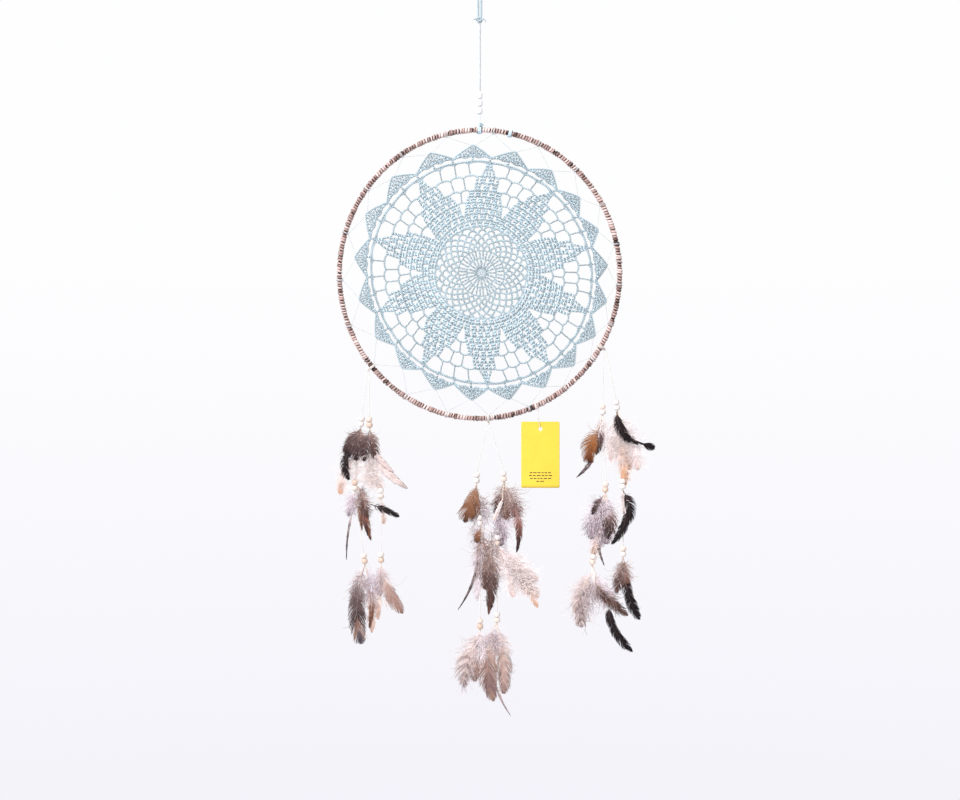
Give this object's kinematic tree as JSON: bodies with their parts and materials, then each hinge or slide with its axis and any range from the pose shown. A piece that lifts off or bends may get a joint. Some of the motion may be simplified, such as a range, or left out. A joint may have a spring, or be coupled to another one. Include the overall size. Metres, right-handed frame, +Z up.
{
  "type": "dream catcher",
  "caption": "Wall dream catcher: a bark-wrapped hoop with a laced light-blue crochet doily, hung by a beaded cord, with bead and feather tassels and a card swing tag.",
  "frame": {"origin": "inside of the top of the hanging loop, where it rests on a hook", "axes": "+Z up along the hanger cord, +X to the right seen from the front, the front of the hoop faces -Y"},
  "size_m": [0.373, 0.017, 0.9058],
  "materials": {
    "bark": "matte wrapped bark strip, pinkish tan to dark brown",
    "steel": "plain bent wire",
    "blue_yarn": "matte cotton crochet yarn, light blue",
    "lacing": "thin pale grey-blue cotton thread",
    "thread": "off-white waxed thread",
    "white_bead": "painted white, satin",
    "wood_bead": "light varnished wood",
    "dark_feather": "dark brown and black feathers",
    "pale_feather": "cream and grey barred downy feathers",
    "card": "uncoated yellow card"
  },
  "bodies": {
    "hanger": {"hanger_loop": "blue_yarn", "hanger_knot": "blue_yarn"},
    "cord": {"hanger_cord": "blue_yarn", "hanger_bead_top": "white_bead", "hanger_bead_middle": "white_bead", "hanger_bead_bottom": "white_bead"},
    "hitch": {"hanger_hitch": "blue_yarn"},
    "hoop": {"hoop_core": "steel", "hoop_wrap": "bark", "doily": "blue_yarn", "lacing_thread": "lacing", "lacing_knot": "blue_yarn", "hitch_left": "thread", "hitch_centre": "thread", "hitch_right": "thread"},
    "tag": {"tag_card": "card", "tag_string": "thread"},
    "strand_left_a": {"left_a_thread": "thread", "left_a_beads_top": "wood_bead", "left_a_tuft_top": "dark_feather", "left_a_beads_middle": "wood_bead", "left_a_tuft_middle": "pale_feather"},
    "end_left_a": {"left_a_beads_low": "wood_bead", "left_a_tuft_low": "dark_feather"},
    "strand_left_b": {"left_b_thread": "thread", "left_b_beads_top": "wood_bead", "left_b_tuft_top": "dark_feather", "left_b_beads_middle": "wood_bead", "left_b_tuft_middle": "pale_feather"},
    "end_left_b": {"left_b_beads_low": "wood_bead", "left_b_tuft_low": "dark_feather"},
    "strand_centre_a": {"centre_a_thread": "thread", "centre_a_beads_top": "wood_bead", "centre_a_tuft_top": "dark_feather", "centre_a_beads_middle": "wood_bead", "centre_a_tuft_middle": "pale_feather"},
    "end_centre_a": {"centre_a_beads_low": "wood_bead", "centre_a_tuft_low": "dark_feather"},
    "strand_centre_b": {"centre_b_thread": "thread", "centre_b_beads_top": "wood_bead", "centre_b_tuft_top": "dark_feather", "centre_b_beads_middle": "wood_bead", "centre_b_tuft_middle": "pale_feather"},
    "end_centre_b": {"centre_b_beads_low": "wood_bead", "centre_b_tuft_low": "dark_feather"},
    "strand_right_a": {"right_a_thread": "thread", "right_a_beads_top": "wood_bead", "right_a_tuft_top": "dark_feather", "right_a_beads_middle": "wood_bead", "right_a_tuft_middle": "pale_feather"},
    "end_right_a": {"right_a_beads_low": "wood_bead", "right_a_tuft_low": "dark_feather"},
    "strand_right_b": {"right_b_thread": "thread", "right_b_beads_top": "wood_bead", "right_b_tuft_top": "dark_feather", "right_b_beads_middle": "wood_bead", "right_b_tuft_middle": "pale_feather"},
    "end_right_b": {"right_b_beads_low": "wood_bead", "right_b_tuft_low": "dark_feather"}
  },
  "joints": [
    {"name": "cord_sway", "type": "hinge", "parent": "hanger", "child": "cord", "pos_m": [0, 0, -0.054], "axis": [0, 1, 0], "range_deg": [-25, 25]},
    {"name": "hoop_swivel", "type": "hinge", "parent": "cord", "child": "hitch", "pos_m": [0, 0, -0.169], "axis": [0, 0, 1], "range_deg": [-180, 180]},
    {"name": "hoop_tilt", "type": "hinge", "parent": "hitch", "child": "hoop", "pos_m": [0, 0, -0.1885], "axis": [1, 0, 0], "range_deg": [-30, 30]},
    {"name": "tag_swing", "type": "hinge", "parent": "hoop", "child": "tag", "pos_m": [0.0715, 0, -0.52543], "axis": [1, 0, 0], "range_deg": [-35, 35]},
    {"name": "swing_left_a", "type": "hinge", "parent": "hoop", "child": "strand_left_a", "pos_m": [-0.13618, 0, -0.48237], "axis": [1, 0, 0], "range_deg": [-40, 40]},
    {"name": "sway_left_a", "type": "hinge", "parent": "strand_left_a", "child": "end_left_a", "pos_m": [-0.14198, 0, -0.70593], "axis": [0, 1, 0], "range_deg": [0, 25]},
    {"name": "swing_left_b", "type": "hinge", "parent": "hoop", "child": "strand_left_b", "pos_m": [-0.13618, 0, -0.48237], "axis": [1, 0, 0], "range_deg": [-40, 40]},
    {"name": "sway_left_b", "type": "hinge", "parent": "strand_left_b", "child": "end_left_b", "pos_m": [-0.12052, 0, -0.70457], "axis": [0, 1, 0], "range_deg": [-25, 0]},
    {"name": "swing_centre_a", "type": "hinge", "parent": "hoop", "child": "strand_centre_a", "pos_m": [0.01086, 0, -0.54736], "axis": [1, 0, 0], "range_deg": [-40, 40]},
    {"name": "sway_centre_a", "type": "hinge", "parent": "strand_centre_a", "child": "end_centre_a", "pos_m": [0.00076, 0, -0.78586], "axis": [0, 1, 0], "range_deg": [0, 25]},
    {"name": "swing_centre_b", "type": "hinge", "parent": "hoop", "child": "strand_centre_b", "pos_m": [0.01086, 0, -0.54736], "axis": [1, 0, 0], "range_deg": [-40, 40]},
    {"name": "sway_centre_b", "type": "hinge", "parent": "strand_centre_b", "child": "end_centre_b", "pos_m": [0.02156, 0, -0.77796], "axis": [0, 1, 0], "range_deg": [-25, 0]},
    {"name": "swing_right_a", "type": "hinge", "parent": "hoop", "child": "strand_right_a", "pos_m": [0.15346, 0, -0.45711], "axis": [1, 0, 0], "range_deg": [-40, 40]},
    {"name": "sway_right_a", "type": "hinge", "parent": "strand_right_a", "child": "end_right_a", "pos_m": [0.13997, 0, -0.70721], "axis": [0, 1, 0], "range_deg": [0, 25]},
    {"name": "swing_right_b", "type": "hinge", "parent": "hoop", "child": "strand_right_b", "pos_m": [0.15346, 0, -0.45711], "axis": [1, 0, 0], "range_deg": [-40, 40]},
    {"name": "sway_right_b", "type": "hinge", "parent": "strand_right_b", "child": "end_right_b", "pos_m": [0.17589, 0, -0.69731], "axis": [0, 1, 0], "range_deg": [-25, 0]}
  ]
}
